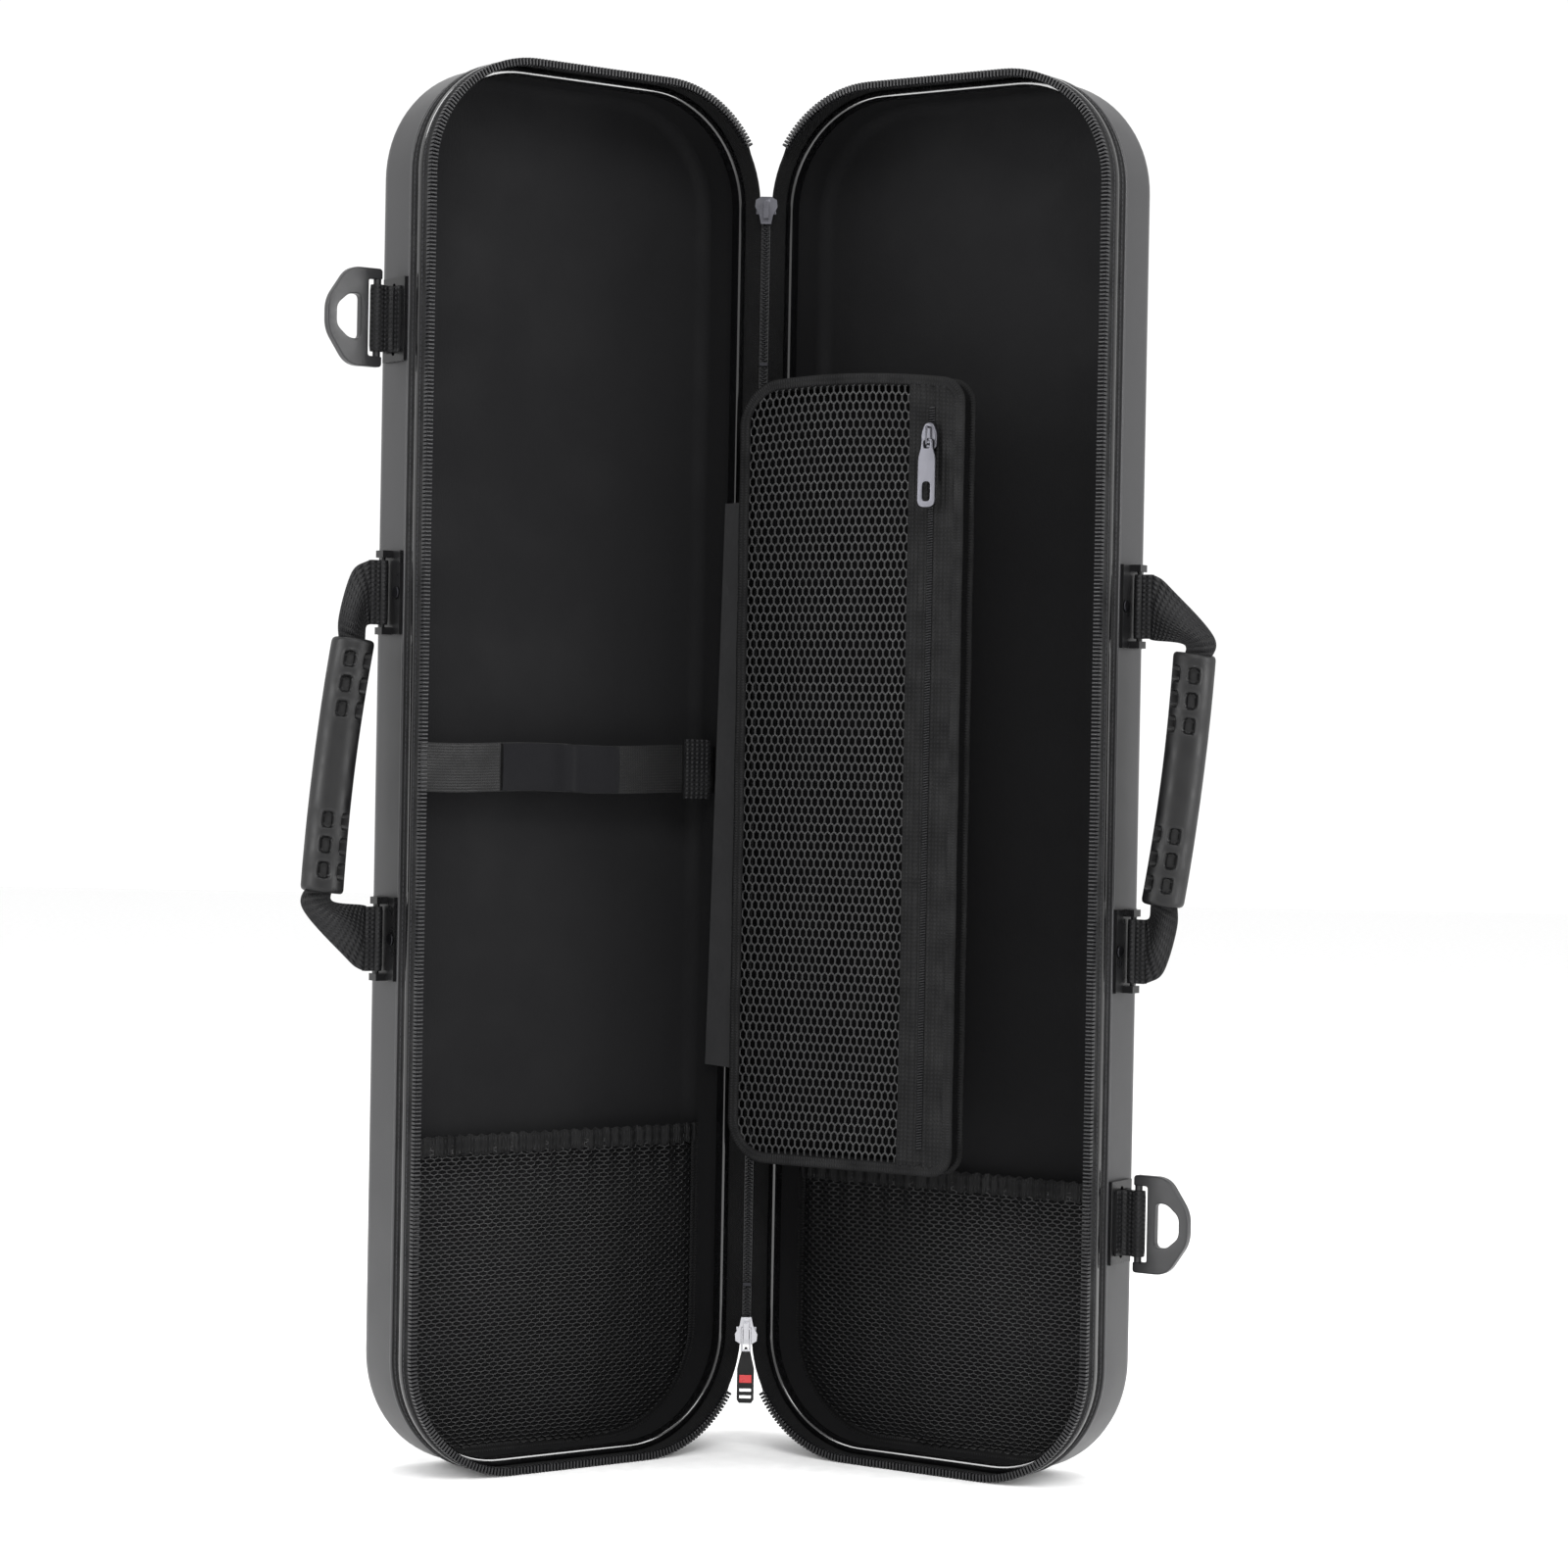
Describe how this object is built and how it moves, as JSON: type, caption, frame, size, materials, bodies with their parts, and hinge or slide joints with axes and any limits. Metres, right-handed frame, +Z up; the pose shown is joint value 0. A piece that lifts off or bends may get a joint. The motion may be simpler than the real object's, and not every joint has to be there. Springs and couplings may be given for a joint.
{
  "type": "violin case",
  "caption": "Slim oblong hard-shell violin case, two zip-joined half shells opened like a book, with handles, D-rings, mesh pockets, strap and a hinged mesh pouch.",
  "frame": {"origin": "middle of the footprint, on the surface that the case stands on", "axes": "+Z up along the case's length, +X to the right half, -Y towards the open front"},
  "size_m": [0.5086, 0.1823, 0.8],
  "materials": {
    "shell": "moulded satin skin over rigid foam",
    "lining": "black brushed lining",
    "tape": "woven zip tape",
    "teeth": "moulded zip teeth",
    "binding": "gloss vinyl piping",
    "net": "knitted mesh net",
    "webbing": "ribbed webbing",
    "batten": "plain grey stiffener",
    "fitting": "moulded satin plastic",
    "rivet": "domed rivet",
    "rubber": "matte rubber",
    "gunmetal": "gunmetal plated zinc",
    "silver": "nickel plated zinc",
    "inlay": "red inlay"
  },
  "bodies": {
    "left_half": {"left_shell": "shell", "left_lining": "lining", "left_zip_tape": "tape", "left_zip_teeth": "teeth", "left_rim_piping": "binding", "left_inner_binding": "binding", "left_mesh_pocket": "net", "left_pocket_hem": "webbing", "left_strap": "webbing", "left_strap_patch": "webbing", "pouch_batten": "batten", "left_handle_anchors": "fitting", "left_anchor_rivets": "rivet", "left_ring_anchor": "fitting", "left_ring_webbing": "webbing"},
    "left_handle": {"left_handle_webbing": "webbing", "left_handle_grip": "rubber"},
    "left_ring": {"left_d_ring": "fitting"},
    "right_half": {"right_shell": "shell", "right_lining": "lining", "right_zip_tape": "tape", "right_zip_teeth": "teeth", "right_rim_piping": "binding", "right_inner_binding": "binding", "right_mesh_pocket": "net", "right_pocket_hem": "webbing", "right_handle_anchors": "fitting", "right_anchor_rivets": "rivet", "right_ring_anchor": "fitting", "right_ring_webbing": "webbing"},
    "right_handle": {"right_handle_webbing": "webbing", "right_handle_grip": "rubber"},
    "right_ring": {"right_d_ring": "fitting"},
    "spine": {"spine_chain": "teeth", "spine_stops": "gunmetal"},
    "upper_slider": {"top_slider": "gunmetal"},
    "lower_slider": {"bottom_slider": "silver"},
    "pull": {"puller_link": "silver", "puller": "fitting", "puller_inlay": "inlay"},
    "pouch": {"pouch_back": "net", "pouch_net": "net", "pouch_gusset": "webbing", "pouch_binding": "webbing", "pouch_zip_tape": "tape", "pouch_coil": "teeth", "pouch_hinge_bead": "webbing"},
    "pouch_runner": {"pouch_slider": "gunmetal"},
    "pouch_tab": {"pouch_pull_tab": "gunmetal"}
  },
  "joints": [
    {"name": "case_hinge", "type": "hinge", "parent": "left_half", "child": "right_half", "pos_m": [-0.002, 0.04387, 0.399], "axis": [0, 0, 1], "range_deg": [-112, 60]},
    {"name": "spine_follow", "type": "hinge", "parent": "left_half", "child": "spine", "pos_m": [-0.002, 0.04387, 0.399], "axis": [0, 0, 1], "range_deg": [-56, 30]},
    {"name": "pouch_turn", "type": "hinge", "parent": "left_half", "child": "pouch", "pos_m": [-0.0088, 0.03545, 0.4], "axis": [0, 0, 1], "range_deg": [-112, 60]},
    {"name": "left_handle_swing", "type": "hinge", "parent": "left_half", "child": "left_handle", "pos_m": [-0.21294, -0.05866, 0.4], "axis": [0, 0, 1], "range_deg": [-55, 50]},
    {"name": "right_handle_swing", "type": "hinge", "parent": "right_half", "child": "right_handle", "pos_m": [0.21239, -0.05123, 0.4], "axis": [0, 0, 1], "range_deg": [-50, 55]},
    {"name": "left_ring_swing", "type": "hinge", "parent": "left_half", "child": "left_ring", "pos_m": [-0.21818, -0.06233, 0.65], "axis": [0, 0, 1], "range_deg": [-60, 60]},
    {"name": "right_ring_swing", "type": "hinge", "parent": "right_half", "child": "right_ring", "pos_m": [0.21776, -0.05472, 0.15], "axis": [0, 0, 1], "range_deg": [-60, 60]},
    {"name": "upper_slider_run", "type": "slide", "parent": "spine", "child": "upper_slider", "axis": [0, 0, 1], "range_m": [-0.08, 0]},
    {"name": "lower_slider_run", "type": "slide", "parent": "spine", "child": "lower_slider", "axis": [0, 0, 1], "range_m": [0, 0.004]},
    {"name": "pull_swing", "type": "hinge", "parent": "lower_slider", "child": "pull", "pos_m": [-0.002, 0.03767, 0.0724], "axis": [1, 0, 0], "range_deg": [-8, 2]},
    {"name": "pouch_slider_run", "type": "slide", "parent": "pouch", "child": "pouch_runner", "axis": [0, 0, 1], "range_m": [-0.36, 0]},
    {"name": "pouch_tab_swing", "type": "hinge", "parent": "pouch_runner", "child": "pouch_tab", "pos_m": [0.0913, -0.04717, 0.5892], "axis": [-0.866, 0.5, 0], "range_deg": [0, 45]}
  ],
  "couplings": [
    {"joint": "spine_follow", "follows": "case_hinge", "ratio": 0.5},
    {"joint": "pouch_turn", "follows": "case_hinge", "ratio": 1}
  ]
}
